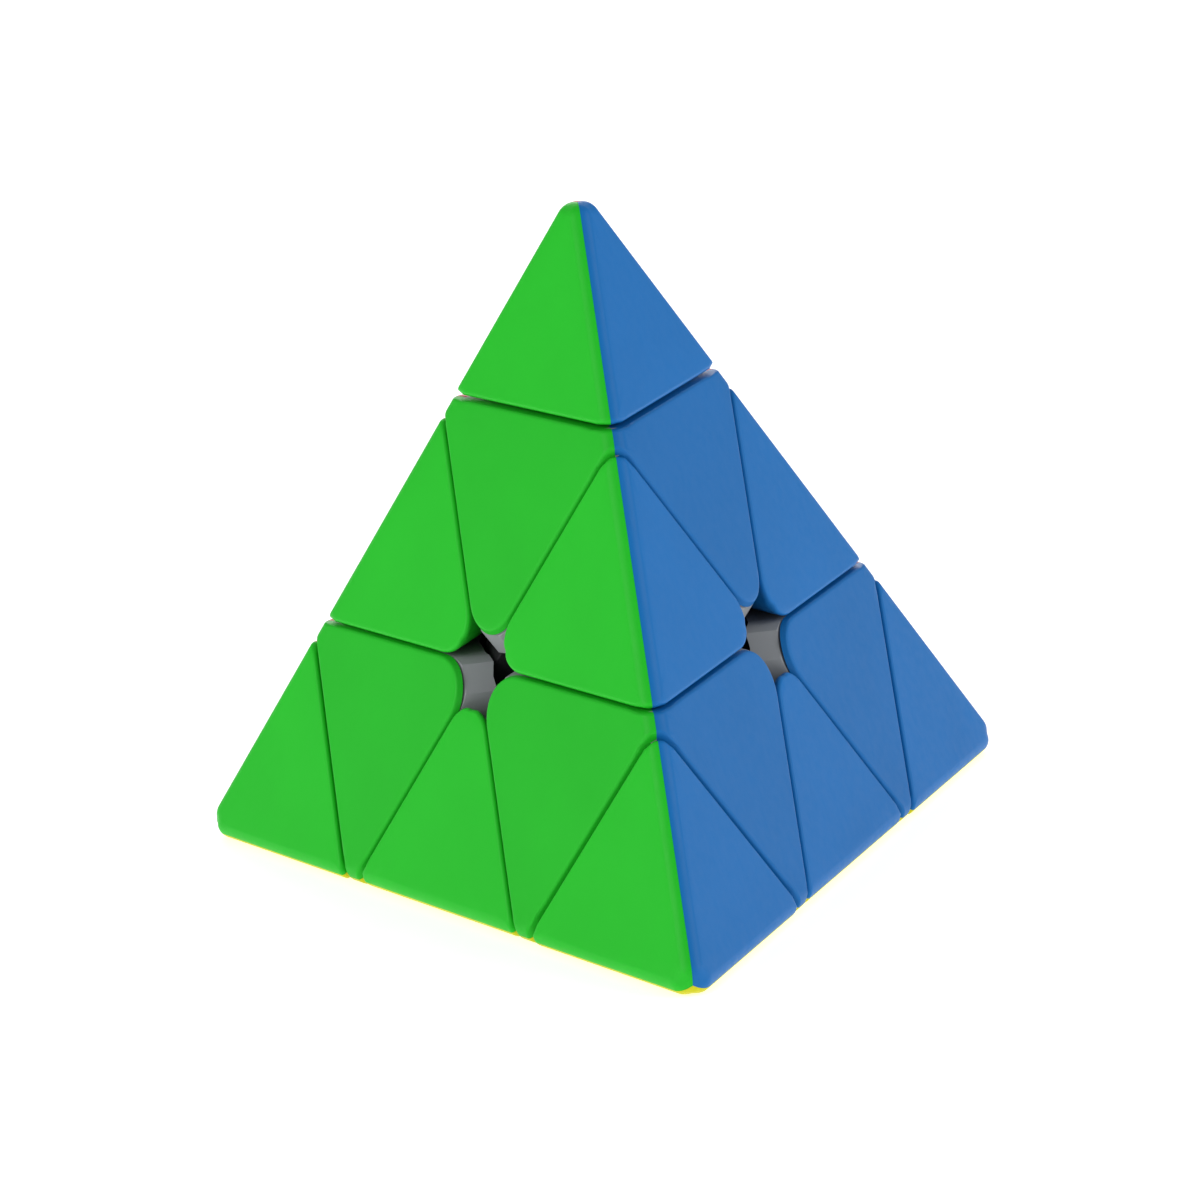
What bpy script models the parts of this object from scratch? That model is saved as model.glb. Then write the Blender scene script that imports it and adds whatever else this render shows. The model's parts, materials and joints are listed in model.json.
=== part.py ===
"""Pyramid twisty puzzle, built the way it comes apart.

A four-armed core carries four centre pieces on spring-loaded screws. Each centre piece carries a
turning tip, and six edge pieces are held by feet that hook under the centre pieces. Every outer
piece is a base under moulded colour caps, one cap for each face it shows. The bases of the centre
pieces and tips are grey, and those of the edge pieces are black like the core.

Metres, +Z up. The origin is the middle of the core, where the four turning axes cross, and it
lies on every turning axis. The yellow face is level underneath.
"""
import math

import bmesh
import bpy
from mathutils import Matrix, Vector

MM = 0.001

# Driving dimensions of the pyramid
SHARP_EDGE = 102 * MM           # edge length before the corners are rounded
LAYER_CUT = 7.08 * MM           # from the core's middle to a layer's cut plane
TIP_CUT = 35.05 * MM            # from the core's middle to a tip's cut plane
LAYER_GAP = 0.4 * MM            # between a layer and the pieces below it
TIP_GAP = 0.5 * MM              # between a tip and its centre piece
CENTRE_ROUND = 4.8 * MM         # inner corners of the centre pieces
RIDGE_ROUND = 4.2 * MM          # inner ridge of the edge pieces
EDGE_ROUND = 1.6 * MM           # long edges of the pyramid
SEAM_BEVEL = 0.45 * MM          # along the seams
CORNER_CUT = 1.5 * MM           # blunt ends of the edge and tip panels
APEX_CUT = 4.0 * MM             # blunt corners of the pyramid

# Colour caps
CAP_WALL = 0.6 * MM
CENTRE_SKIRT = 0.7 * MM         # depth of a cap's side walls below its face, on centre pieces
TIP_SKIRT = 3.2 * MM            # the same on tips
EDGE_SKIRT = 5.5 * MM           # the same on edge pieces
CAP_GAP = 0.25 * MM             # between a cap and its base
CAP_SPLIT = 0.3 * MM            # between two caps along an edge

# Inner mechanism, as radii and heights from the core's middle
BALL_R = 8.4 * MM
FOOT_IN_R = 9.2 * MM
FOOT_OUT_R = 16.7 * MM
UNDERCUT_R = 17.3 * MM
FOOT_CUT = 3.0 * MM             # the feet's own cut planes, closer in than LAYER_CUT
ARM_R = 3.3 * MM
ARM_TOP = 12.6 * MM
HUB_R = 5.7 * MM
HUB_LOW = 9.0 * MM
HUB_HIGH = 19.0 * MM
HUB_BORE_R = 3.65 * MM
WEB_LOW = 12.95 * MM
WEB_HIGH = 15.3 * MM
WEB_HOLE_R = 1.85 * MM
WELL_R = 3.9 * MM               # open well over the web, for the spring and the screw head
SCREW_R = 1.45 * MM
SCREW_LOW = 5.2 * MM
SCREW_BORE_R = 1.8 * MM
HEAD_R = 3.2 * MM
HEAD_LOW = 22.0 * MM
HEAD_HIGH = 23.9 * MM
SLOT_WIDTH = 0.8 * MM
SLOT_LENGTH = 3.6 * MM
SLOT_DEPTH = 1.1 * MM
SPRING_R = 2.6 * MM
WIRE_R = 0.35 * MM
SPRING_LOW = 16.0 * MM
SPRING_HIGH = 21.3 * MM
SPRING_TURNS = 4
SPRING_STEPS = 10               # points in each turn
SPIGOT_R = 4.9 * MM
SPIGOT_LOW = 30.0 * MM
SPIGOT_HIGH = 38.3 * MM
RIB_R = 5.25 * MM               # snap rib round the spigot
RIB_LOW = 36.6 * MM
RIB_HIGH = 37.4 * MM
RUN_GAP = 0.3 * MM              # round the spigot and its rib
SOCKET_TOP = 40.7 * MM          # point of the tip's socket

POCKET_WALL = 1.4 * MM          # of the hollow bases
POCKET_FLOOR = 19.0 * MM        # from the core's middle to the floor of an edge base's pocket
OVERLAP = 1.0 * MM              # how far joined solids and cutters run into each other
SIDES = 24                      # of turned pieces and balls
CORNER_STEPS = 7                # facets round a big corner
EDGE_STEPS = 2                  # facets round a long edge of the pyramid
SHARP_ANGLE = math.radians(45)  # edges sharper than this get the seam bevel
SMOOTH_ANGLE = math.radians(30)  # edges flatter than this are shaded smooth
SAME_WAY = 0.01                 # radians between directions that count as the same
MERGE = 1e-7                    # metres between points that count as the same
TURNED_MERGE = 1e-5

# Shape facts of a regular tetrahedron
FACE_DIST = SHARP_EDGE / math.sqrt(24)
APEX_DIST = 3 * FACE_DIST
LOW = -1 / 3
WIDE = math.sqrt(8) / 3


def side_axis(degrees):
    """Unit vector from the middle to a lower corner of the pyramid."""
    angle = math.radians(degrees)
    return Vector((WIDE * math.cos(angle), WIDE * math.sin(angle), LOW))


AXIS = {
    "top": Vector((0, 0, 1)),
    "front": side_axis(-90),
    "right": side_axis(30),
    "left": side_axis(150),
}
FACE_COLOUR = {"right": "green", "left": "blue", "top": "yellow", "front": "red"}
CAP_COLOURS = {
    "green": (0.030, 0.520, 0.033),
    "blue": (0.022, 0.176, 0.490),
    "yellow": (0.800, 0.720, 0.010),
    "red": (0.620, 0.030, 0.020),
}
CAP_ROUGHNESS = 0.38
# Material slot, with its colour, roughness and metallic value
INNER_FINISHES = {
    "inner_plastic": ((0.560, 0.570, 0.580), 0.45, 0.0),
    "core_plastic": ((0.045, 0.047, 0.050), 0.45, 0.0),
    "screw_steel": ((0.550, 0.550, 0.560), 0.30, 1.0),
    "spring_steel": ((0.450, 0.450, 0.470), 0.35, 1.0),
}
EDGES = (
    ("top", "front"), ("top", "right"), ("top", "left"),
    ("front", "right"), ("right", "left"), ("left", "front"),
)


# ---------------------------------------------------------------- scene helpers

def clear_scene():
    for obj in list(bpy.data.objects):
        bpy.data.objects.remove(obj, do_unlink=True)


def collection(name):
    group = bpy.data.collections.new(name)
    bpy.context.scene.collection.children.link(group)
    return group


def material(name, colour, roughness, metallic):
    mat = bpy.data.materials.new(name)
    mat.use_nodes = True
    shader = mat.node_tree.nodes["Principled BSDF"]
    shader.inputs["Base Color"].default_value = (*colour, 1)
    shader.inputs["Roughness"].default_value = roughness
    shader.inputs["Metallic"].default_value = metallic
    mat.diffuse_color = (*colour, 1)
    return mat


def turn(to_first, to_second):
    """The rotation that takes the top and front axes to two other axes."""
    def basis(first, second):
        return Matrix((AXIS[first], AXIS[second], AXIS[first].cross(AXIS[second]))).transposed()
    return (basis(to_first, to_second) @ basis("top", "front").inverted()).to_4x4()


def others(*names):
    return [name for name in AXIS if name not in names]


# ---------------------------------------------------------------- solid helpers

def cut(bm, planes):
    """Keep what lies below each plane, given as (outward normal, distance), and close the cuts."""
    for normal, distance in planes:
        geometry = bm.verts[:] + bm.edges[:] + bm.faces[:]
        result = bmesh.ops.bisect_plane(
            bm, geom=geometry, dist=MERGE, plane_co=normal * distance, plane_no=normal,
            clear_outer=True)
        rim = [item for item in result["geom_cut"] if isinstance(item, bmesh.types.BMEdge)]
        if rim:
            bmesh.ops.contextual_create(bm, geom=rim)
    bmesh.ops.recalc_face_normals(bm, faces=bm.faces[:])


def block(planes):
    """Convex block bounded by planes."""
    bm = bmesh.new()
    bmesh.ops.create_cube(bm, size=4 * APEX_DIST)
    cut(bm, planes)
    return bm


def round_between(bm, normals, radius, segments):
    """Round the straight edges where the planes with these outward normals meet each other."""
    tangent = radius * math.tan(normals[0].angle(normals[1]) / 2)
    chosen = []
    for edge in bm.edges:
        if all(min(face.normal.angle(normal) for normal in normals) < SAME_WAY
               for face in edge.link_faces):
            chosen.append(edge)
    bmesh.ops.bevel(
        bm, geom=chosen, offset=tangent, offset_type="OFFSET", segments=segments, profile=0.5,
        affect="EDGES", clamp_overlap=True)


def bevel_rim(bm, normal, width):
    """Chamfer the sharp edges round the flat face with this outward normal."""
    chosen = set()
    for face in bm.faces:
        if face.normal.angle(normal) < SAME_WAY:
            chosen.update(edge for edge in face.edges if edge.calc_face_angle() > SHARP_ANGLE)
    bmesh.ops.bevel(
        bm, geom=list(chosen), offset=width, offset_type="OFFSET", segments=1, profile=0.5,
        affect="EDGES", clamp_overlap=True)


def as_object(bm, name, group):
    bmesh.ops.recalc_face_normals(bm, faces=bm.faces[:])
    mesh = bpy.data.meshes.new(name)
    bm.to_mesh(mesh)
    bm.free()
    obj = bpy.data.objects.new(name, mesh)
    group.objects.link(obj)
    obj.hide_render = True
    obj.display_type = "WIRE"
    return obj


def turned(name, profile, group):
    """Solid of revolution about +Z from (radius, height) points that run down its outer side."""
    mesh = bpy.data.meshes.new(name)
    points = [(radius, 0, height) for radius, height in profile]
    mesh.from_pydata(points, [(i, i + 1) for i in range(len(points) - 1)], [])
    obj = bpy.data.objects.new(name, mesh)
    group.objects.link(obj)
    obj.hide_render = True
    obj.display_type = "WIRE"
    screw = obj.modifiers.new("Turn", "SCREW")
    screw.steps = SIDES
    screw.render_steps = SIDES
    screw.use_merge_vertices = True
    screw.merge_threshold = TURNED_MERGE
    return obj


def ball(name, radius, group):
    bm = bmesh.new()
    bmesh.ops.create_uvsphere(bm, u_segments=SIDES, v_segments=SIDES // 2, radius=radius)
    return as_object(bm, name, group)


def combine(target, operation, *tools):
    for tool in tools:
        modifier = target.modifiers.new(operation.title(), "BOOLEAN")
        modifier.operation = operation
        modifier.object = tool


def finished(obj):
    """The mesh that an object's modifiers make, ready to be shared by its copies."""
    graph = bpy.context.evaluated_depsgraph_get()
    mesh = bpy.data.meshes.new_from_object(obj.evaluated_get(graph))
    mesh.shade_smooth()
    mesh.set_sharp_from_angle(angle=SMOOTH_ANGLE)
    return mesh


# ---------------------------------------------------------------- outer shapes

def centre_block(inset=0.0):
    """A centre piece's outer shape, under the top tip, or the same shape drawn in by inset."""
    sides = [AXIS[name] for name in others("top")]
    bm = block([(-side, FACE_DIST - inset) for side in sides]
               + [(side, LAYER_CUT - LAYER_GAP / 2 - inset) for side in sides]
               + [(-AXIS["top"], 0)])
    round_between(bm, sides, CENTRE_ROUND - inset, CORNER_STEPS)
    cut(bm, [(AXIS["top"], TIP_CUT - TIP_GAP / 2 - inset),
             (-AXIS["top"], -LAYER_CUT - LAYER_GAP / 2)])
    return bm


def tip_block(inset=0.0):
    """The top tip's outer shape, or the same shape drawn in by inset."""
    sides = [AXIS[name] for name in others("top")]
    bm = block([(-side, FACE_DIST - inset) for side in sides]
               + [(-AXIS["top"], -TIP_CUT - TIP_GAP / 2 - inset)])
    if inset == 0:
        round_between(bm, [-side for side in sides], EDGE_ROUND, EDGE_STEPS)
        blunt = 2 * FACE_DIST - TIP_CUT - TIP_GAP / 2 - CORNER_CUT
        cut(bm, [(side, blunt) for side in sides])
    cut(bm, [(AXIS["top"], APEX_DIST - APEX_CUT - inset)])
    return bm


def edge_block(inset=0.0):
    """The top-front edge piece's outer shape, or the same shape drawn in by inset."""
    ends = [AXIS["top"], AXIS["front"]]
    faces = [AXIS["right"], AXIS["left"]]
    bm = block([(-face, FACE_DIST - inset) for face in faces]
               + [(-end, -LAYER_CUT - LAYER_GAP / 2 - inset) for end in ends])
    round_between(bm, [-end for end in ends], RIDGE_ROUND - inset, CORNER_STEPS)
    if inset == 0:
        round_between(bm, [-face for face in faces], EDGE_ROUND, EDGE_STEPS)
        blunt = 2 * FACE_DIST - LAYER_CUT - LAYER_GAP / 2 - CORNER_CUT
        cut(bm, [(end, blunt) for end in ends])
    return bm


def cap(name, shape, face, neighbours, skirt, group):
    """One colour cap: the shell of a shape on one face, split from its neighbours' caps."""
    bm = shape()
    bevel_rim(bm, -AXIS[face], SEAM_BEVEL)
    for neighbour in neighbours:
        cut(bm, [((AXIS[face] - AXIS[neighbour]).normalized(), -CAP_SPLIT / 2)])
    cut(bm, [(AXIS[face], skirt - FACE_DIST)])
    outer = as_object(bm, name, group)
    combine(outer, "DIFFERENCE", as_object(shape(CAP_WALL), name + "_core", group))
    return finished(outer)


def base_blank(name, shape, faces, skirt, group):
    """Full-width lower part below the caps' skirts, joined to a plug that fills the caps."""
    bm = shape()
    cut(bm, [(-AXIS[face], FACE_DIST - skirt - CAP_GAP) for face in faces])
    low = as_object(bm, name, group)
    combine(low, "UNION", as_object(shape(CAP_WALL + CAP_GAP), name + "_plug", group))
    return low


def centre_pocket(face, group):
    """Hollow of the top centre base behind one cap, clear of the well, the ribs and the undercut."""
    outward = (-AXIS[face] + AXIS["top"] * AXIS[face].z).normalized()
    inset = LAYER_GAP / 2 + CAP_WALL + CAP_GAP + POCKET_WALL
    sides = others("top", face)
    planes = [(AXIS[side], LAYER_CUT - inset) for side in sides]
    planes += [((AXIS[face] - AXIS[side]).normalized(), -POCKET_WALL / 2) for side in sides]
    planes += [(AXIS["top"], TIP_CUT - inset), (-outward, -WELL_R - POCKET_WALL)]
    pocket = as_object(block(planes), "centre_pocket_" + face, group)
    combine(pocket, "DIFFERENCE", ball("pocket_floor_" + face, UNDERCUT_R + POCKET_WALL, group))
    return pocket


def edge_pocket(group):
    """Hollow of the top-front edge base behind its two caps."""
    outward = (AXIS["top"] + AXIS["front"]).normalized()
    inset = LAYER_GAP / 2 + CAP_WALL + CAP_GAP + POCKET_WALL
    planes = [(-AXIS[end], -LAYER_CUT - inset) for end in ("top", "front")]
    return as_object(block(planes + [(-outward, -POCKET_FLOOR)]), "edge_pocket", group)


# ---------------------------------------------------------------- reference pieces

def core_mesh(group):
    core = ball("core_ball", BALL_R, group)
    for name in AXIS:
        arm = turned("core_arm_" + name, [(0, ARM_TOP), (ARM_R, ARM_TOP), (ARM_R, 0), (0, 0)], group)
        arm.matrix_basis = turn(name, others(name)[0])
        combine(core, "UNION", arm)
    for name in AXIS:
        top = ARM_TOP + OVERLAP
        low = SCREW_LOW - OVERLAP
        bore = turned("core_bore_" + name,
                      [(0, top), (SCREW_BORE_R, top), (SCREW_BORE_R, low), (0, low)], group)
        bore.matrix_basis = turn(name, others(name)[0])
        combine(core, "DIFFERENCE", bore)
    return finished(core)


def screw_mesh(group):
    screw = turned("screw_blank", [
        (0, HEAD_HIGH), (HEAD_R, HEAD_HIGH), (HEAD_R, HEAD_LOW), (SCREW_R, HEAD_LOW),
        (SCREW_R, SCREW_LOW + OVERLAP), (0, SCREW_LOW)], group)
    for i, size in enumerate(((SLOT_LENGTH, SLOT_WIDTH), (SLOT_WIDTH, SLOT_LENGTH))):
        bm = bmesh.new()
        bmesh.ops.create_cube(bm, size=1)
        bmesh.ops.scale(bm, vec=(*size, 2 * SLOT_DEPTH), verts=bm.verts[:])
        bmesh.ops.translate(bm, vec=(0, 0, HEAD_HIGH), verts=bm.verts[:])
        combine(screw, "DIFFERENCE", as_object(bm, f"screw_slot_{i}", group))
    return finished(screw)


def spring_mesh(group):
    curve = bpy.data.curves.new("spring_wire", "CURVE")
    curve.dimensions = "3D"
    curve.bevel_depth = WIRE_R
    curve.bevel_resolution = 2
    curve.use_fill_caps = True
    count = SPRING_TURNS * SPRING_STEPS + 1
    wire = curve.splines.new("POLY")
    wire.points.add(count - 1)
    for i, point in enumerate(wire.points):
        angle = 2 * math.pi * i / SPRING_STEPS
        height = SPRING_LOW + (SPRING_HIGH - SPRING_LOW) * i / (count - 1)
        point.co = (SPRING_R * math.cos(angle), SPRING_R * math.sin(angle), height, 1)
    obj = bpy.data.objects.new("spring_wire", curve)
    group.objects.link(obj)
    graph = bpy.context.evaluated_depsgraph_get()
    mesh = bpy.data.meshes.new_from_object(obj.evaluated_get(graph))
    bpy.data.objects.remove(obj)
    bm = bmesh.new()
    bm.from_mesh(mesh)
    bmesh.ops.remove_doubles(bm, verts=bm.verts[:], dist=TURNED_MERGE)
    bmesh.ops.recalc_face_normals(bm, faces=bm.faces[:])
    bm.to_mesh(mesh)
    bm.free()
    mesh.shade_smooth()
    return mesh


def centre_base_mesh(group):
    """Base of the centre piece under the top tip: hub below, well through it, spigot on top."""
    base = base_blank("centre_base_blank", centre_block, others("top"), CENTRE_SKIRT, group)
    hub = turned("centre_hub", [(0, HUB_HIGH), (HUB_R, HUB_HIGH), (HUB_R, HUB_LOW), (0, HUB_LOW)],
                 group)
    spigot = turned("centre_spigot", [
        (0, SPIGOT_HIGH), (SPIGOT_R, SPIGOT_HIGH), (RIB_R, RIB_HIGH), (RIB_R, RIB_LOW),
        (SPIGOT_R, RIB_LOW), (SPIGOT_R, SPIGOT_LOW), (0, SPIGOT_LOW)], group)
    well = turned("centre_well", [
        (0, SPIGOT_HIGH + OVERLAP), (WELL_R, SPIGOT_HIGH + OVERLAP), (WELL_R, WEB_HIGH),
        (WEB_HOLE_R, WEB_HIGH), (WEB_HOLE_R, WEB_LOW), (HUB_BORE_R, WEB_LOW),
        (HUB_BORE_R, HUB_LOW - OVERLAP), (0, HUB_LOW - OVERLAP)], group)
    pockets = [centre_pocket(face, group) for face in others("top")]
    combine(base, "DIFFERENCE", ball("centre_undercut", UNDERCUT_R, group), *pockets)
    combine(base, "UNION", hub, spigot)
    combine(base, "DIFFERENCE", well)
    return finished(base)


def tip_base_mesh(group):
    """Base of the top tip: a plug that fills its caps, with a snap socket for the spigot."""
    plug = as_object(tip_block(CAP_WALL + CAP_GAP), "tip_base_plug", group)
    floor = TIP_CUT + TIP_GAP / 2
    bore = SPIGOT_R + RUN_GAP
    groove = RIB_R + RUN_GAP
    socket = turned("tip_socket", [
        (0, SOCKET_TOP), (bore, SPIGOT_HIGH + RUN_GAP), (groove, RIB_HIGH + RUN_GAP),
        (groove, RIB_LOW - RUN_GAP), (bore, RIB_LOW - RUN_GAP), (bore, floor - OVERLAP),
        (0, floor - OVERLAP)], group)
    combine(plug, "DIFFERENCE", socket)
    return finished(plug)


def edge_base_mesh(group):
    """Base of the top-front edge piece, with the foot that hooks under two centre pieces."""
    base = base_blank("edge_base_blank", edge_block, ("right", "left"), EDGE_SKIRT, group)
    inner = FOOT_CUT + LAYER_GAP / 2
    outer = FOOT_CUT - LAYER_GAP / 2
    foot = as_object(block([(-AXIS["top"], -inner), (-AXIS["front"], -inner),
                            (AXIS["right"], outer), (AXIS["left"], outer)]), "edge_foot", group)
    combine(foot, "INTERSECT", ball("foot_outside", FOOT_OUT_R, group))
    combine(foot, "DIFFERENCE", ball("foot_inside", FOOT_IN_R, group))
    combine(base, "UNION", foot)
    combine(base, "DIFFERENCE", edge_pocket(group))
    return finished(base)


# ---------------------------------------------------------------- assembly

class Assembly:
    """Places copies of the reference pieces on the four axes."""

    def __init__(self, group):
        self.group = group
        self.materials = {slot: material(slot, *look) for slot, look in INNER_FINISHES.items()}
        for colour, value in CAP_COLOURS.items():
            slot = colour + "_plastic"
            self.materials[slot] = material(slot, value, CAP_ROUGHNESS, 0.0)

    def body(self, name, rotation):
        """An empty at the origin, so on every turning axis, that carries one moving body."""
        empty = bpy.data.objects.new(name, None)
        empty.matrix_basis = rotation
        self.group.objects.link(empty)
        return empty

    def add(self, name, mesh, rotation, slot, body):
        obj = bpy.data.objects.new(name, mesh)
        self.group.objects.link(obj)
        if not mesh.materials:
            mesh.materials.append(None)
        obj.material_slots[0].link = "OBJECT"
        obj.material_slots[0].material = self.materials[slot]
        obj.parent = body
        obj.matrix_basis = body.matrix_basis.inverted() @ rotation


def face_caps(assembly, name, mesh, corner, body):
    """The three caps round one corner, for a tip or a centre piece."""
    for face in others(corner):
        colour = FACE_COLOUR[face]
        assembly.add(f"{name}_{colour}", mesh, turn(corner, face), colour + "_plastic", body)


def edge_caps(assembly, edge, mesh, body):
    """The two caps of an edge piece. The reference cap is on the face opposite the right corner."""
    first, second = edge
    for face in others(first, second):
        turns = (turn(first, second), turn(second, first))
        best = min(turns, key=lambda turned_by: (turned_by @ AXIS["right"] - AXIS[face]).length)
        colour = FACE_COLOUR[face]
        name = f"edge_cap_{first}_{second}_{colour}"
        assembly.add(name, mesh, best, colour + "_plastic", body)


def build():
    clear_scene()
    parts = collection("pyramid_twisty_puzzle")
    tools = collection("cutters")
    assembly = Assembly(parts)

    core_body = assembly.body("core_body", Matrix.Identity(4))
    assembly.add("core", core_mesh(tools), Matrix.Identity(4), "core_plastic", core_body)

    screw = screw_mesh(tools)
    spring = spring_mesh(tools)
    centre_base = centre_base_mesh(tools)
    centre_cap = cap("centre_cap", centre_block, "front", ("right", "left"), CENTRE_SKIRT, tools)
    tip_base = tip_base_mesh(tools)
    tip_cap = cap("tip_cap", tip_block, "front", ("right", "left"), TIP_SKIRT, tools)
    for corner in AXIS:
        rotation = turn(corner, others(corner)[0])
        assembly.add("screw_" + corner, screw, rotation, "screw_steel", core_body)
        assembly.add("spring_" + corner, spring, rotation, "spring_steel", core_body)
        centre_body = assembly.body("centre_body_" + corner, rotation)
        assembly.add("centre_base_" + corner, centre_base, rotation, "inner_plastic", centre_body)
        face_caps(assembly, "centre_cap_" + corner, centre_cap, corner, centre_body)
        tip_body = assembly.body("tip_body_" + corner, rotation)
        assembly.add("tip_base_" + corner, tip_base, rotation, "inner_plastic", tip_body)
        face_caps(assembly, "tip_cap_" + corner, tip_cap, corner, tip_body)

    edge_base = edge_base_mesh(tools)
    edge_cap = cap("edge_cap", edge_block, "right", ("left",), EDGE_SKIRT, tools)
    for first, second in EDGES:
        rotation = turn(first, second)
        edge_body = assembly.body(f"edge_body_{first}_{second}", rotation)
        base_name = f"edge_base_{first}_{second}"
        assembly.add(base_name, edge_base, rotation, "core_plastic", edge_body)
        edge_caps(assembly, (first, second), edge_cap, edge_body)


build()
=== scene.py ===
"""Looks of the pyramid twisty puzzle: satin colour caps with rolled edges over moulded bases.

The origin is the core's middle, and the four turning axes run through it. Pieces are made once,
for the top corner or the top-front edge, and copies are turned to the others. Each cap is meshed on
one smooth surface, made of the planes that bound its piece and the rounds between them, so that the
caps of one piece meet without a step.
"""

import itertools
import json
import math

import bmesh
import bpy
import numpy as np
from mathutils import Matrix, Vector

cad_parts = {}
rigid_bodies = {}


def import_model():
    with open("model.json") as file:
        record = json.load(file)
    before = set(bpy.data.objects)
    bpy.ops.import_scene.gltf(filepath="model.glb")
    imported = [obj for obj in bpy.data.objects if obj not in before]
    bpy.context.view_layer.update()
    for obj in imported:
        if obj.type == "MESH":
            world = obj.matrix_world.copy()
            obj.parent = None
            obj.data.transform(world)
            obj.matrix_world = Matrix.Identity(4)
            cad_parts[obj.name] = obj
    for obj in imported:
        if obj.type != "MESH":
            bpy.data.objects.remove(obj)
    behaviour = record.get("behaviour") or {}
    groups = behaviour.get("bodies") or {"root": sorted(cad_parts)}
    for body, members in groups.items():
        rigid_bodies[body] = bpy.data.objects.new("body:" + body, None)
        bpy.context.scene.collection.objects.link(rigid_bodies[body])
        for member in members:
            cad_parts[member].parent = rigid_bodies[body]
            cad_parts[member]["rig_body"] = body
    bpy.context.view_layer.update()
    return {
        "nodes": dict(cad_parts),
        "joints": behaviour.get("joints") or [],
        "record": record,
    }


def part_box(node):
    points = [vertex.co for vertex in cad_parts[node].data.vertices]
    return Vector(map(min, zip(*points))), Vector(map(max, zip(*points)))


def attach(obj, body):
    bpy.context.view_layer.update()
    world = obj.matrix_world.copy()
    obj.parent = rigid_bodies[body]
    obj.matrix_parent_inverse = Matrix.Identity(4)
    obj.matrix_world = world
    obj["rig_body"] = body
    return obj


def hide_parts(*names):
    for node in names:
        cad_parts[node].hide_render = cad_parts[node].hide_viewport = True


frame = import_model()

MM = 0.001

APEX_DROP = 0.4 * MM            # of the rounded apex below the CAD's flat one
SEAM_SHARE = 0.05 * MM          # by which a cap stands out of its base in the seams

# The frame's planes, read from the CAD: distances from the core's middle
FACE_DIST = -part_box("tip_cap_front_yellow")[0].z
APEX_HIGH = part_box("tip_cap_top_green")[1].z - APEX_DROP
LAYER_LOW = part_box("centre_cap_front_green")[1].z + SEAM_SHARE
LAYER_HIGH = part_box("edge_cap_top_front_green")[0].z - SEAM_SHARE
TIP_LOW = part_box("centre_cap_top_green")[1].z + SEAM_SHARE
TIP_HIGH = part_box("tip_cap_top_green")[0].z
AXIS = {joint["name"].split("_")[0]: Vector(joint["axis"]) for joint in frame["joints"]
        if joint["name"].endswith("_layer_turn")}
FACE_COLOUR = {"right": "green", "left": "blue", "top": "yellow", "front": "red"}

# Rounds of the caps
EDGE_FILLET = 1.9 * MM          # along the pyramid's edges on edge and centre pieces
TIP_FILLET = 1.7 * MM           # the same on tips
APEX_FILLET = 2.3 * MM          # round the blunt ends of tips
CENTRE_CORNER = 4.8 * MM        # inner corner of a centre piece
RIDGE_CORNER = 4.2 * MM         # inner corner of an edge piece
SEAM_FILLET = 0.45 * MM         # between a panel and the walls of its seams
END_FILLET = 0.6 * MM           # the same where the pyramid's edges end
RIDGE_FILLET = 1.3 * MM         # the same at the inner corner of an edge piece
FILLET_REACH = 3.0 * MM         # how far from there the seam fillet narrows
LEAST_ROUND = 0.15 * MM         # of the hollows
PARALLEL_GUARD = 1e-9           # keeps rounds solvable between planes in the same direction

# Walls of the caps
CAP_WALL = 0.6 * MM
CAP_SPLIT = 0.01 * MM           # of each cap from the plane where two caps of a piece meet
CENTRE_SKIRT = 2.1 * MM         # depth of a wall, from the panel
CENTRE_TILT = 0.09              # slope by which it gets shallower towards the inner corner
TIP_SKIRT = 3.3 * MM
EDGE_SKIRT = 7.5 * MM
RIM_SPARE = 0.3 * MM            # how far the hollow reaches below the skirt
TRIM_ROOM = 0.25 * MM           # between the caps and the trimmed edges of their base
CUT_MERGE = 1e-8                # points this near a cut are taken as on it

# Mesh lines of a cap
COLUMNS = 120                   # round the panel
ROWS = 18                       # from the panel down its wall
FINE_COLUMNS = 720              # rays that find where the surface bends, before the lines are set
FINE_ROWS = 60
LENGTH_STEP = 2.5 * MM          # this length counts as much as the bend below
BEND_STEP = math.radians(7)
PIVOT_SHARE = 0.45              # of the way from the panel's middle to its rim: rays start there
INNER_RINGS = (0.5, 0.85)       # shares of the way from the panel's middle to the first row
NEWTON_STEPS = 20
LEAST_RATE = 0.25               # of height along a ray, which keeps a step from overshooting

# Refined copies of the CAD's inner pieces
WELD = 0.001 * MM
FLAT_ANGLE = math.radians(0.5)
SHARP_ANGLE = math.radians(38)
SOFT_EDGE = 0.12 * MM           # bevel of moulded edges
SOFT_SEGMENTS = 2
AREA_WEIGHT = 100               # how far large faces rule the shading of small ones, of 100

# Springs, as radii and heights from the core's middle
SPRING_R = 2.6 * MM
WIRE_R = 0.35 * MM
SPRING_LOW = 16.0 * MM
SPRING_HIGH = 21.3 * MM
SPRING_TURNS = 4
TURN_STEPS = 48
WIRE_SIDES = 16
END_TURNS = 0.75                # closed turns at each end of a spring
CLOSED_RISE = 0.3               # share of the full rise that the closed turns keep

# Looks. A noise is its cells in a metre and its octaves
SHADE_NOISE = (75, 3)
GLOSS_NOISE = (700, 4)
GRAIN_NOISE = (4500, 2)
NOISE_SPAN = (0.3, 0.7)         # the part of the noise's range that is stretched over the change
SHADE_SPAN = (0.97, 1.025)
GLOSS_CHANGE = 0.05             # of roughness, both ways
GRAIN_DEPTH = 0.02 * MM
SHEEN = 0.16
GRAIN = 0.10
CAP_ROUGHNESS = 0.42
CENTRE_SHADE = 0.94             # the centre pieces are a little darker
STEEL = {"specular": 0.5, "grain": 0.3, "metallic": 1.0}

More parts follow.
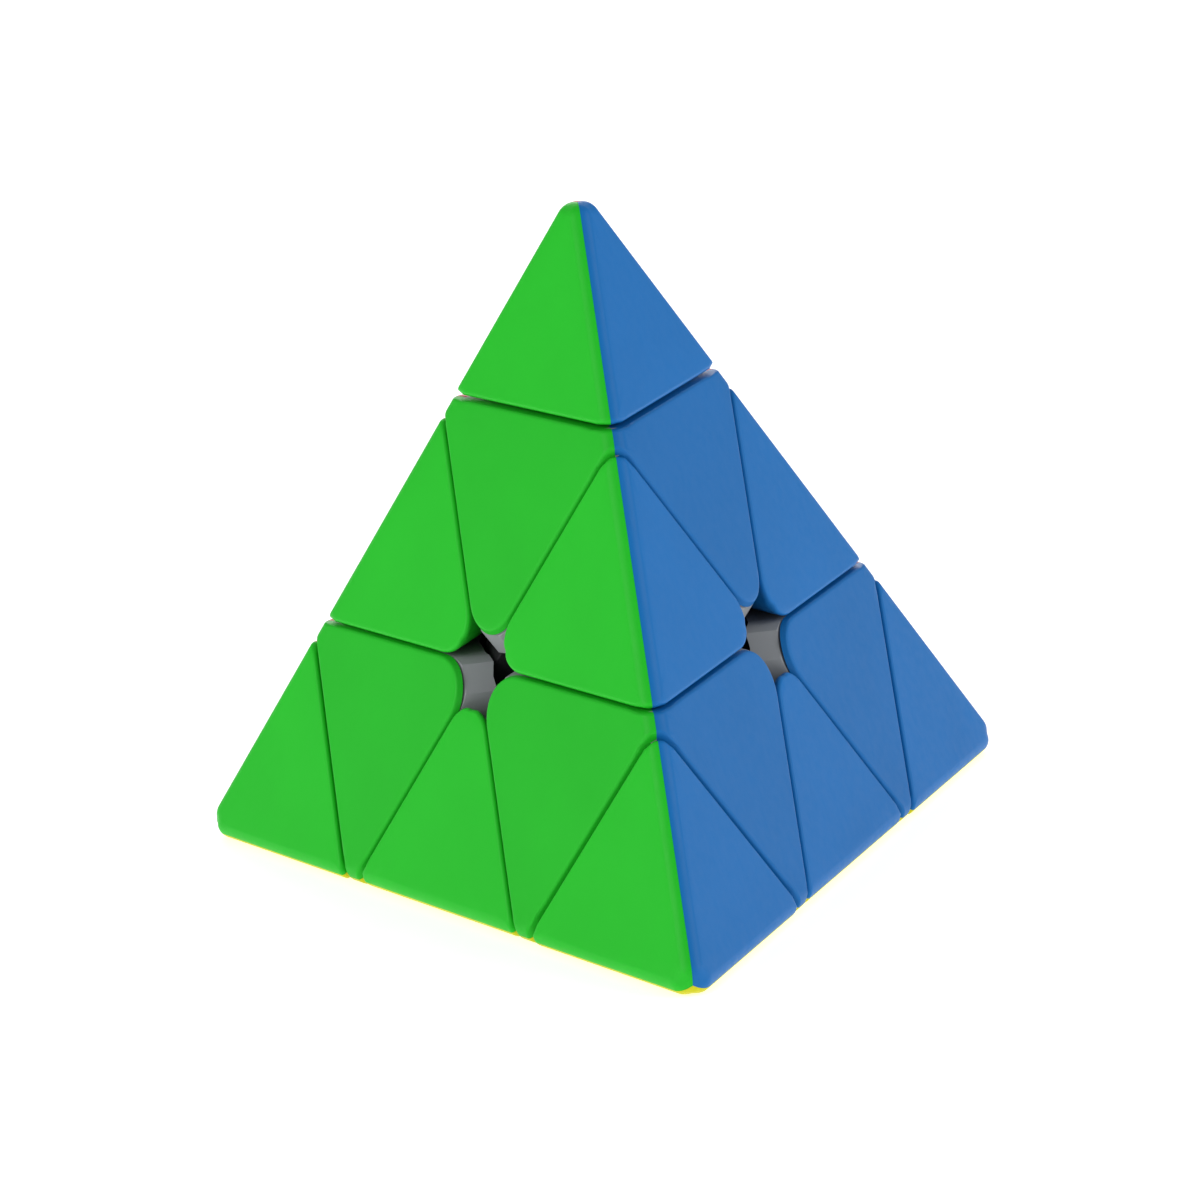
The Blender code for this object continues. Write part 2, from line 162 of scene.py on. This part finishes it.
# Stage. A light is its place and power
VIEW_AZIMUTH = math.radians(5.51)
VIEW_DOWN = math.radians(14.67)
VIEW_ROLL = math.radians(4.86)
VIEW_DISTANCE = 664 * MM
VIEW_AIM = Vector((-1.02, 2.8, 9.94)) * MM
VIEW_LENS = 169.3
VIEW_NEAR = 0.01
WHITE = (1, 1, 1, 1)
FLOOR_SIZE = 6
FLOOR_SHADE = 0.88
FLOOR_ROUGHNESS = 0.80
FLOOR_GLOW = 0.58
WORLD_LIGHT = 0.3
LIGHT_SIZE = 1.2
LIGHTS = {
    "key": ((-1.3, -0.6, 0.65), 12.9),
    "fill": ((1.35, -0.5, 0.6), 12.7),
    "back": ((0.1, 1.4, 0.7), 11),
}


# ---------------------------------------------------------------- rounded surfaces

def others(*names):
    return [name for name in AXIS if name not in names]


def turn(first, second):
    """The rotation that takes the top and front axes to two other axes."""
    def basis(a, b):
        return Matrix((AXIS[a], AXIS[b], AXIS[a].cross(AXIS[b]))).transposed()
    return (basis(first, second) @ basis("top", "front").inverted()).to_4x4()


def plane(points, normal, distance):
    """Height of each point above a plane, with the plane's direction there."""
    return points @ np.array(normal) - distance, np.broadcast_to(normal, points.shape)


def joined(surfaces, radius):
    """Surfaces that meet along rounded edges, as (height, direction) at each point.

    Outside the surfaces lowered by the radius, the height is the distance to them less the radius.
    """
    heights = np.array([height for height, _ in surfaces])
    directions = np.array([direction for _, direction in surfaces])
    every = np.arange(heights.shape[1])
    highest = heights.argmax(0)
    height = heights[highest, every]
    direction = directions[highest, every]
    reach = np.zeros(len(every))
    for count in (1, 2, 3):
        for group in itertools.combinations(range(len(surfaces)), count):
            raised = (heights[list(group)] + radius).T
            normals = directions[list(group)].transpose(1, 0, 2)
            gram = normals @ normals.transpose(0, 2, 1) + np.eye(count) * PARALLEL_GUARD
            share = np.linalg.solve(gram, raised[..., None])[..., 0]
            squared = (share * raised).sum(1)
            better = (share > 0).all(1) & (squared > reach)
            length = np.sqrt(np.where(better, squared, 1))
            pushed = np.einsum("nk,nkd->nd", share, normals) / length[:, None]
            reach = np.where(better, squared, reach)
            height = np.where(better, length - radius, height)
            direction = np.where(better[:, None], pushed, direction)
    return height, direction


def near_edge(surfaces):
    """1 where two of the surfaces meet, fading to 0 at FILLET_REACH from their edge."""
    second = np.sort([height for height, _ in surfaces], axis=0)[-2]
    share = np.clip(1 + second / FILLET_REACH, 0, 1)
    return share * share * (3 - 2 * share)


def less(radius, inset):
    return np.maximum(radius - inset, LEAST_ROUND)


def centre_surface(points, inset):
    faces = [plane(points, -AXIS[name], FACE_DIST - inset) for name in others("top")]
    layers = [plane(points, AXIS[name], LAYER_LOW - inset) for name in others("top")]
    seam = SEAM_FILLET + (END_FILLET - SEAM_FILLET) * near_edge(faces)
    body = joined(faces, less(EDGE_FILLET, inset))
    walls = joined(layers, less(CENTRE_CORNER, inset))
    return joined([body, walls, plane(points, AXIS["top"], TIP_LOW - inset)], less(seam, inset))


def tip_surface(points, inset):
    faces = [plane(points, -AXIS[name], FACE_DIST - inset) for name in others("top")]
    seam = SEAM_FILLET + (END_FILLET - SEAM_FILLET) * near_edge(faces)
    apex = plane(points, AXIS["top"], APEX_HIGH - inset)
    body = joined([joined(faces, less(TIP_FILLET, inset)), apex], less(APEX_FILLET, inset))
    return joined([body, plane(points, -AXIS["top"], -TIP_HIGH - inset)], less(seam, inset))


def edge_surface(points, inset):
    faces = [plane(points, -AXIS[name], FACE_DIST - inset) for name in ("right", "left")]
    layers = [plane(points, -AXIS[name], -LAYER_HIGH - inset) for name in ("top", "front")]
    seam = (SEAM_FILLET + (END_FILLET - SEAM_FILLET) * near_edge(faces)
            + (RIDGE_FILLET - SEAM_FILLET) * near_edge(layers))
    body = joined(faces, less(EDGE_FILLET, inset))
    walls = joined(layers, less(RIDGE_CORNER, inset))
    return joined([body, walls], less(seam, inset))


# ---------------------------------------------------------------- caps

def panel_middle(face, bounds):
    """The point on a panel's plane that is equally deep under the three planes round it."""
    rows = [(*normal, 1) for normal, _ in bounds] + [(*-AXIS[face], 0)]
    depths = [distance for _, distance in bounds] + [FACE_DIST]
    return np.linalg.solve(np.array(rows), np.array(depths))[:3]


def on_surface(surface, inset, origin, direction):
    """Where each ray leaves the surface, found with Newton's method on all rays at once."""
    travel = np.zeros(len(origin))
    for _ in range(NEWTON_STEPS):
        height, steepest = surface(origin + direction * travel[:, None], inset)
        rate = np.maximum((steepest * direction).sum(1), LEAST_RATE)
        travel -= height / rate
    points = origin + direction * travel[:, None]
    return points, surface(points, inset)[1]


def spread(points, normals, count):
    """Places along a line of points, as indices with fractions: even, and closer on its bends."""
    length = np.linalg.norm(np.diff(points, axis=0), axis=1)
    bend = np.arccos(np.clip((normals[1:] * normals[:-1]).sum(1), -1, 1))
    travelled = np.concatenate(([0], np.cumsum(length / LENGTH_STEP + bend / BEND_STEP)))
    return np.interp(np.linspace(0, travelled[-1], count), travelled, np.arange(len(points)))


def block_grid(surface, face, middle, inset, depth, tilt):
    """Points of the block under a panel: columns round it, each from the panel down its wall.

    Tilt is the slope of the block's underside, as a vector along the panel. Rays that fan out from
    near that underside give the points. A fine fan finds the bends, and the lines gather there.
    """
    up = np.array(-AXIS[face])
    across = np.array((-AXIS[face]).orthogonal().normalized())
    along = np.cross(up, across)
    middle = middle - up * inset
    room = depth - inset

    turns = np.linspace(0, 2 * math.pi, FINE_COLUMNS + 1)
    outward = np.outer(np.cos(turns), across) + np.outer(np.sin(turns), along)
    level = np.broadcast_to(middle - up * room / 2, outward.shape)
    points, normals = on_surface(surface, inset, level, outward)
    normals = normals - np.outer(normals @ up, up)
    normals /= np.linalg.norm(normals, axis=1)[:, None]
    places = spread(points, normals, COLUMNS + 1)[:-1]
    turns = np.interp(places, np.arange(len(turns)), turns)
    outward = np.outer(np.cos(turns), across) + np.outer(np.sin(turns), along)
    reach = np.interp(places, np.arange(len(points)), ((points - level) ** 2).sum(1) ** 0.5)
    fall = room + outward @ tilt * reach
    pivot = middle - np.outer(fall, up) + outward * (reach * PIVOT_SHARE)[:, None]

    leans = np.linspace(0, math.pi / 2, FINE_ROWS)
    fans = [np.outer(np.cos(leans), up) + np.outer(np.sin(leans), out) for out in outward]
    starts = np.repeat(pivot, FINE_ROWS, 0)
    points, normals = on_surface(surface, inset, starts, np.concatenate(fans))
    points = points.reshape(COLUMNS, FINE_ROWS, 3)
    normals = normals.reshape(COLUMNS, FINE_ROWS, 3)
    directions = []
    for column, out in enumerate(outward):
        places = spread(points[column], normals[column], ROWS)
        lean = np.interp(places, np.arange(FINE_ROWS), leans)
        directions.append(np.outer(np.cos(lean), up) + np.outer(np.sin(lean), out))
    points, _ = on_surface(surface, inset, np.repeat(pivot, ROWS, 0), np.concatenate(directions))
    grid = points.reshape(COLUMNS, ROWS, 3)
    rings = [middle + (grid[:, :1] - middle) * share for share in INNER_RINGS]
    return np.concatenate(rings + [grid], axis=1)


def face_outwards(bm):
    bmesh.ops.recalc_face_normals(bm, faces=bm.faces[:])
    if bm.calc_volume(signed=True) < 0:
        bmesh.ops.reverse_faces(bm, faces=bm.faces[:])


def cap_block(surface, face, middle, inset, depth, tilt):
    """Closed block under one panel, or the same block drawn in by inset."""
    grid = block_grid(surface, face, middle, inset, depth, tilt)
    bm = bmesh.new()
    columns = [[bm.verts.new(point) for point in column] for column in grid]
    for here, following in zip(columns, columns[1:] + columns[:1]):
        for row in range(len(here) - 1):
            bm.faces.new((here[row], here[row + 1], following[row + 1], following[row]))
    bm.faces.new([column[0] for column in columns])
    bm.faces.new([column[-1] for column in reversed(columns)])
    face_outwards(bm)
    return bm


def as_mesh(bm, name):
    mesh = bpy.data.meshes.new(name)
    bm.to_mesh(mesh)
    bm.free()
    return mesh


def as_object(bm, name):
    obj = bpy.data.objects.new(name, as_mesh(bm, name))
    bpy.context.scene.collection.objects.link(obj)
    return obj


def cut_away(target, tool):
    """The mesh left of an object when another is cut from it. Both are used up."""
    cut = target.modifiers.new("Cut", "BOOLEAN")
    cut.operation = "DIFFERENCE"
    cut.object = tool
    graph = bpy.context.evaluated_depsgraph_get()
    mesh = bpy.data.meshes.new_from_object(target.evaluated_get(graph))
    bpy.data.objects.remove(target)
    bpy.data.objects.remove(tool)
    return mesh


def cut_back(bm, normal, distance):
    """Remove what lies beyond a plane, and close the cut."""
    geometry = bm.verts[:] + bm.edges[:] + bm.faces[:]
    result = bmesh.ops.bisect_plane(bm, geom=geometry, dist=CUT_MERGE, plane_co=normal * distance,
                                    plane_no=normal, clear_outer=True)
    rim = [item for item in result["geom_cut"] if isinstance(item, bmesh.types.BMEdge)]
    bmesh.ops.contextual_create(bm, geom=rim)


def shell(surface, face, bounds, neighbours, depth, tilt):
    """One colour cap: its block, split from its neighbours along the pyramid's edges, hollowed."""
    middle = panel_middle(face, bounds)
    bm = cap_block(surface, face, middle, 0.0, depth, tilt)
    for neighbour in neighbours:
        cut_back(bm, (AXIS[face] - AXIS[neighbour]).normalized(), -CAP_SPLIT)
    face_outwards(bm)
    hollow = cap_block(surface, face, middle, CAP_WALL, depth + RIM_SPARE, tilt)
    return cut_away(as_object(bm, "block"), as_object(hollow, "hollow"))


def centre_cap():
    bounds = [(AXIS["top"], TIP_LOW), (AXIS["left"], LAYER_LOW), (AXIS["right"], LAYER_LOW)]
    upwards = np.array((AXIS["top"] - AXIS["front"] * AXIS["top"].dot(AXIS["front"])).normalized())
    return (centre_surface, "front", bounds, ("right", "left"), CENTRE_SKIRT, upwards * CENTRE_TILT)


def tip_cap():
    bounds = [(-AXIS["top"], -TIP_HIGH), (-AXIS["left"], FACE_DIST), (-AXIS["right"], FACE_DIST)]
    return (tip_surface, "front", bounds, ("right", "left"), TIP_SKIRT, np.zeros(3))


def edge_cap():
    bounds = [(-AXIS["top"], -LAYER_HIGH), (-AXIS["front"], -LAYER_HIGH),
              (-AXIS["left"], FACE_DIST)]
    return (edge_surface, "right", bounds, ("left",), EDGE_SKIRT, np.zeros(3))


def under_round(first, second, distance, fillet, room):
    """The plane at room under the round between two planes that lie at the same distance."""
    outward = (first + second).normalized()
    return outward, (distance - fillet) / outward.dot(first) + fillet - room


def long_edges(faces, fillet):
    return [under_round(-AXIS[first], -AXIS[second], FACE_DIST, fillet, CAP_WALL + TRIM_ROOM)
            for first, second in itertools.combinations(faces, 2)]


def base_mesh(node, trims):
    """A CAD base, trimmed along planes to stay inside the rounds of its caps."""
    bm = welded(frame["nodes"][node].data)
    for normal, distance in trims:
        cut_back(bm, normal, distance)
    face_outwards(bm)
    return as_mesh(bm, node)


def welded(mesh):
    """A CAD mesh with its points joined and its flats made whole."""
    bm = bmesh.new()
    bm.from_mesh(mesh)
    bmesh.ops.remove_doubles(bm, verts=bm.verts[:], dist=WELD)
    bmesh.ops.dissolve_limit(bm, angle_limit=FLAT_ANGLE, verts=bm.verts[:], edges=bm.edges[:])
    return bm


# ---------------------------------------------------------------- materials

def moulded(name, colour, roughness, specular=SHEEN, grain=GRAIN, metallic=0.0, stretch=1.0):
    """Fine moulded grain, patchy gloss and slight differences of shade.

    Stretch packs the noise closer across X and Y, which leaves it drawn out along Z.
    """
    mat = bpy.data.materials.new(name)
    mat.use_nodes = True
    tree = mat.node_tree
    shader = tree.nodes["Principled BSDF"]
    shader.inputs["Metallic"].default_value = metallic
    shader.inputs["Specular IOR Level"].default_value = specular
    coordinates = tree.nodes.new("ShaderNodeTexCoord")
    drawn = tree.nodes.new("ShaderNodeMapping")
    drawn.inputs["Scale"].default_value = (stretch, stretch, 1)
    tree.links.new(coordinates.outputs["Object"], drawn.inputs["Vector"])

    def noise(kind):
        scale, detail = kind
        node = tree.nodes.new("ShaderNodeTexNoise")
        node.inputs["Scale"].default_value = scale
        node.inputs["Detail"].default_value = detail
        tree.links.new(drawn.outputs["Vector"], node.inputs["Vector"])
        return node.outputs["Fac"]

    shade = tree.nodes.new("ShaderNodeValToRGB")
    for element, place, share in zip(shade.color_ramp.elements, NOISE_SPAN, SHADE_SPAN):
        element.position = place
        element.color = (*(part * share for part in colour), 1)
    tree.links.new(noise(SHADE_NOISE), shade.inputs["Fac"])
    tree.links.new(shade.outputs["Color"], shader.inputs["Base Color"])

    gloss = tree.nodes.new("ShaderNodeMapRange")
    gloss.inputs["From Min"].default_value, gloss.inputs["From Max"].default_value = NOISE_SPAN
    gloss.inputs["To Min"].default_value = roughness - GLOSS_CHANGE
    gloss.inputs["To Max"].default_value = roughness + GLOSS_CHANGE
    tree.links.new(noise(GLOSS_NOISE), gloss.inputs["Value"])
    tree.links.new(gloss.outputs["Result"], shader.inputs["Roughness"])

    bump = tree.nodes.new("ShaderNodeBump")
    bump.inputs["Strength"].default_value = grain
    bump.inputs["Distance"].default_value = GRAIN_DEPTH
    tree.links.new(noise(GRAIN_NOISE), bump.inputs["Height"])
    tree.links.new(bump.outputs["Normal"], shader.inputs["Normal"])
    return mat


CAP_COLOURS = {
    "green": (0.016, 0.500, 0.020),
    "blue": (0.006, 0.145, 0.440),
    "yellow": (0.640, 0.610, 0.010),
    "red": (0.600, 0.022, 0.016),
}
# Looks of the inner pieces, by material slot
INNER_LOOKS = {
    # grey darker than the light plastic of the bases: painted shade for where they sit deep inside
    # the holes
    "inner_plastic": moulded("grey_plastic_with_painted_shade_look", (0.300, 0.315, 0.330), roughness=0.50),
    # near black plastic: painted shade for what lies deep inside the holes
    "core_plastic": moulded("black_painted_shade_look", (0.022, 0.023, 0.025), roughness=0.48),
    "screw_steel": moulded("screw_steel_look", (0.550, 0.550, 0.560), roughness=0.30,
                           stretch=6.0, **STEEL),
    "spring_steel": moulded("spring_steel_look", (0.450, 0.450, 0.470), roughness=0.34,
                            stretch=4.0, **STEEL),
}


def cap_look(part, colour):
    share = CENTRE_SHADE if part == "centre" else 1
    shaded = [value * share for value in CAP_COLOURS[colour]]
    return moulded(f"{colour}_{part}_look", shaded, CAP_ROUGHNESS)


CAP_LOOKS = {(part, colour): cap_look(part, colour)
             for part in ("centre", "tip", "edge") for colour in CAP_COLOURS}
SLOT_OF_NODE = {row["node"]: row["material_slot"] for row in frame["record"]["subparts"]}


# ---------------------------------------------------------------- assembly

def show(mesh, look, node):
    """Show a mesh in place of a CAD node, on the node's body and with the given look."""
    mesh.materials.clear()
    mesh.materials.append(look)
    piece = bpy.data.objects.new("look_" + node, mesh)
    bpy.context.scene.collection.objects.link(piece)
    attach(piece, frame["nodes"][node]["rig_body"])
    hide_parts(node)
    return piece


def shade(mesh):
    mesh.shade_smooth()
    mesh.set_sharp_from_angle(angle=SHARP_ANGLE)


def weigh_normals(piece):
    """Shade panels flat right up to their rounds."""
    weighted = piece.modifiers.new("Flat panels", "WEIGHTED_NORMAL")
    weighted.keep_sharp = True
    weighted.weight = AREA_WEIGHT


def place_cap(shape, rotation, node):
    part, *_, colour = node.split("_")
    mesh = shape.copy()
    mesh.transform(rotation)
    shade(mesh)
    weigh_normals(show(mesh, CAP_LOOKS[part, colour], node))


def edge_turn(first, second, face):
    """The rotation from the top-front edge piece to another that brings its right face to face."""
    turns = (turn(first, second), turn(second, first))
    return min(turns, key=lambda made: (made @ AXIS["right"] - AXIS[face]).length)


def place_moulding(mesh, node):
    """A base, the core or a screw, with its edges softened."""
    shade(mesh)
    piece = show(mesh, INNER_LOOKS[SLOT_OF_NODE[node]], node)
    soft = piece.modifiers.new("Soft edges", "BEVEL")
    soft.width = SOFT_EDGE
    soft.segments = SOFT_SEGMENTS
    soft.limit_method = "ANGLE"
    soft.angle_limit = SHARP_ANGLE
    soft.use_clamp_overlap = True
    weigh_normals(piece)


def place_base(shape, rotation, node):
    mesh = shape.copy()
    mesh.transform(rotation)
    place_moulding(mesh, node)


def place_corners():
    faces = others("top")
    inner_corners = [under_round(AXIS[first], AXIS[second], LAYER_LOW, CENTRE_CORNER, TRIM_ROOM)
                     for first, second in itertools.combinations(faces, 2)]
    apex = (AXIS["top"], APEX_HIGH - CAP_WALL - TRIM_ROOM)
    bases = {
        "centre": base_mesh("centre_base_top", long_edges(faces, EDGE_FILLET) + inner_corners),
        "tip": base_mesh("tip_base_top", long_edges(faces, TIP_FILLET) + [apex]),
    }
    for part, cap in (("centre", centre_cap()), ("tip", tip_cap())):
        panel = shell(*cap)
        for corner in AXIS:
            for face in others(corner):
                place_cap(panel, turn(corner, face), f"{part}_cap_{corner}_{FACE_COLOUR[face]}")
            place_base(bases[part], turn(corner, others(corner)[0]), f"{part}_base_{corner}")


def place_edges():
    base = base_mesh("edge_base_top_front", long_edges(("right", "left"), EDGE_FILLET))
    panel = shell(*edge_cap())
    for body in frame["record"]["behaviour"]["bodies"]:
        if not body.startswith("edge_"):
            continue
        _, first, second = body.split("_")
        for face in others(first, second):
            rotation = edge_turn(first, second, face)
            place_cap(panel, rotation, f"edge_cap_{first}_{second}_{FACE_COLOUR[face]}")
        place_base(base, turn(first, second), f"edge_base_{first}_{second}")


def spring_mesh():
    """Wire coiled about +Z, with its end turns closed up."""
    count = SPRING_TURNS * TURN_STEPS + 1
    rise = [0.0]
    for step in range(1, count):
        done = step / TURN_STEPS
        closing = min(done, SPRING_TURNS - done) / END_TURNS
        rise.append(rise[-1] + min(1, max(closing, CLOSED_RISE)))
    bm = bmesh.new()
    rings = []
    for step in range(count):
        angle = 2 * math.pi * step / TURN_STEPS
        out = Vector((math.cos(angle), math.sin(angle), 0))
        height = SPRING_LOW + (SPRING_HIGH - SPRING_LOW) * rise[step] / rise[-1]
        ring = []
        for side in range(WIRE_SIDES):
            around = 2 * math.pi * side / WIRE_SIDES
            across = out * (SPRING_R + WIRE_R * math.cos(around))
            ring.append(bm.verts.new(across + Vector((0, 0, height + WIRE_R * math.sin(around)))))
        rings.append(ring)
    for here, following in zip(rings, rings[1:]):
        for side in range(WIRE_SIDES):
            beside = (side + 1) % WIRE_SIDES
            bm.faces.new((here[side], here[beside], following[beside], following[side]))
    bm.faces.new(rings[0])
    bm.faces.new(rings[-1])
    face_outwards(bm)
    return as_mesh(bm, "spring")


def place_mechanism():
    place_moulding(as_mesh(welded(frame["nodes"]["core"].data), "core"), "core")
    coil = spring_mesh()
    for corner in AXIS:
        screw = "screw_" + corner
        place_moulding(as_mesh(welded(frame["nodes"][screw].data), screw), screw)
        mesh = coil.copy()
        mesh.transform(turn(corner, others(corner)[0]))
        shade(mesh)
        show(mesh, INNER_LOOKS["spring_steel"], "spring_" + corner)


# ---------------------------------------------------------------- stage

def make_camera():
    forward = Vector((math.sin(VIEW_AZIMUTH) * math.cos(VIEW_DOWN),
                      math.cos(VIEW_AZIMUTH) * math.cos(VIEW_DOWN), -math.sin(VIEW_DOWN)))
    camera = bpy.data.cameras.new("view")
    camera.lens = VIEW_LENS
    camera.clip_start = VIEW_NEAR
    obj = bpy.data.objects.new("view", camera)
    bpy.context.scene.collection.objects.link(obj)
    place = Matrix.Translation(VIEW_AIM - forward * VIEW_DISTANCE)
    level = forward.to_track_quat("-Z", "Y").to_matrix().to_4x4()
    obj.matrix_world = place @ level @ Matrix.Rotation(-VIEW_ROLL, 4, "Z")
    bpy.context.scene.camera = obj


def area_light(name, place, power):
    light = bpy.data.lights.new(name, "AREA")
    light.size = LIGHT_SIZE
    light.energy = power
    obj = bpy.data.objects.new(name, light)
    obj.location = place
    obj.rotation_euler = (-Vector(place)).to_track_quat("-Z", "Y").to_euler()
    bpy.context.scene.collection.objects.link(obj)


def make_stage():
    bpy.context.scene.view_settings.view_transform = "Standard"
    bpy.ops.mesh.primitive_plane_add(size=FLOOR_SIZE, location=(0, 0, -FACE_DIST))
    floor = bpy.context.active_object
    floor.name = "floor"
    paper = moulded("floor_look", (FLOOR_SHADE,) * 3, FLOOR_ROUGHNESS)
    shader = paper.node_tree.nodes["Principled BSDF"]
    shader.inputs["Emission Color"].default_value = WHITE
    shader.inputs["Emission Strength"].default_value = FLOOR_GLOW
    floor.data.materials.append(paper)
    world = bpy.data.worlds.new("studio")
    world.use_nodes = True
    background = world.node_tree.nodes["Background"]
    background.inputs["Color"].default_value = WHITE
    background.inputs["Strength"].default_value = WORLD_LIGHT
    bpy.context.scene.world = world
    for name, (place, power) in LIGHTS.items():
        area_light(name, place, power)


make_camera()
place_corners()
place_edges()
place_mechanism()
make_stage()
